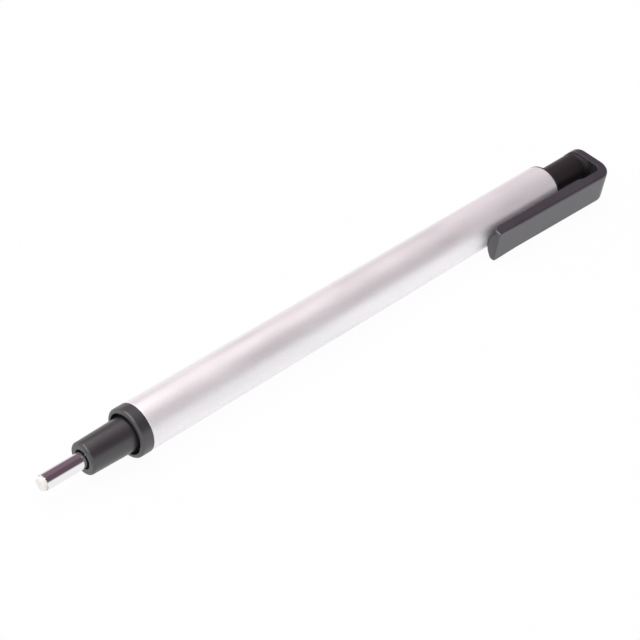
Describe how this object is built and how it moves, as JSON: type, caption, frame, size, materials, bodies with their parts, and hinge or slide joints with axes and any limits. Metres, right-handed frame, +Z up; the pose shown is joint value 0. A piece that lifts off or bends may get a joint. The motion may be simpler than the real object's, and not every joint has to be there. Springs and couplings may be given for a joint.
{
  "type": "click stick eraser pen",
  "caption": "Pen-shaped eraser holder: a slim tube barrel with a stepped nose, a metal guide tube for a round eraser stick, and a push cap made in one with its pocket clip.",
  "frame": {"origin": "bottom centre of the bounding box, on the desk that the pen lies on", "axes": "+X along the barrel from the eraser tip to the push cap, +Z up from the desk; the clip is on the -Y side, turned a little down until its lower edge touches the desk"},
  "size_m": [0.1276, 0.0118, 0.0084],
  "materials": {
    "satin_aluminium": "satin anodised",
    "black_collar_plastic": "satin",
    "black_nose_plastic": "satin",
    "black_cap_plastic": "satin gloss",
    "black_inner_plastic": "matte",
    "polished_tube": "polished",
    "retainer_rubber": "matte",
    "sleeve_plastic": "matte",
    "eraser_compound": "matte",
    "brass": "turned",
    "spring_steel": "drawn wire",
    "white_plastic": "satin",
    "magazine_plastic": "milky"
  },
  "bodies": {
    "barrel": {"barrel": "satin_aluminium", "front_collar": "black_collar_plastic", "nose_cone": "black_nose_plastic", "guide_tube": "polished_tube", "tube_bush": "black_inner_plastic", "retainer_ring": "retainer_rubber", "chuck_sleeve": "sleeve_plastic", "rear_bush": "black_inner_plastic", "return_spring": "spring_steel"},
    "push_cap": {"clip_cap": "black_cap_plastic", "magazine_tube": "magazine_plastic", "chuck_adapter": "white_plastic", "chuck": "brass"},
    "clutch": {"clutch_ring": "brass"},
    "eraser": {"eraser_stick": "eraser_compound"}
  },
  "joints": [
    {"name": "push_slide", "type": "slide", "parent": "barrel", "child": "push_cap", "axis": [-1, 0, 0], "range_m": [0, 0.0032], "stiffness_N_per_m": 600, "springref_m": -0.004, "deforming": ["return_spring"]},
    {"name": "clutch_slide", "type": "slide", "parent": "barrel", "child": "clutch", "axis": [-1, 0, 0], "range_m": [0, 0.0008]},
    {"name": "eraser_feed", "type": "slide", "parent": "barrel", "child": "eraser", "axis": [-1, 0, 0], "range_m": [-0.024, 0.06]}
  ],
  "couplings": [
    {"joint": "clutch_slide", "follows": "push_slide", "ratio": 0.25}
  ]
}
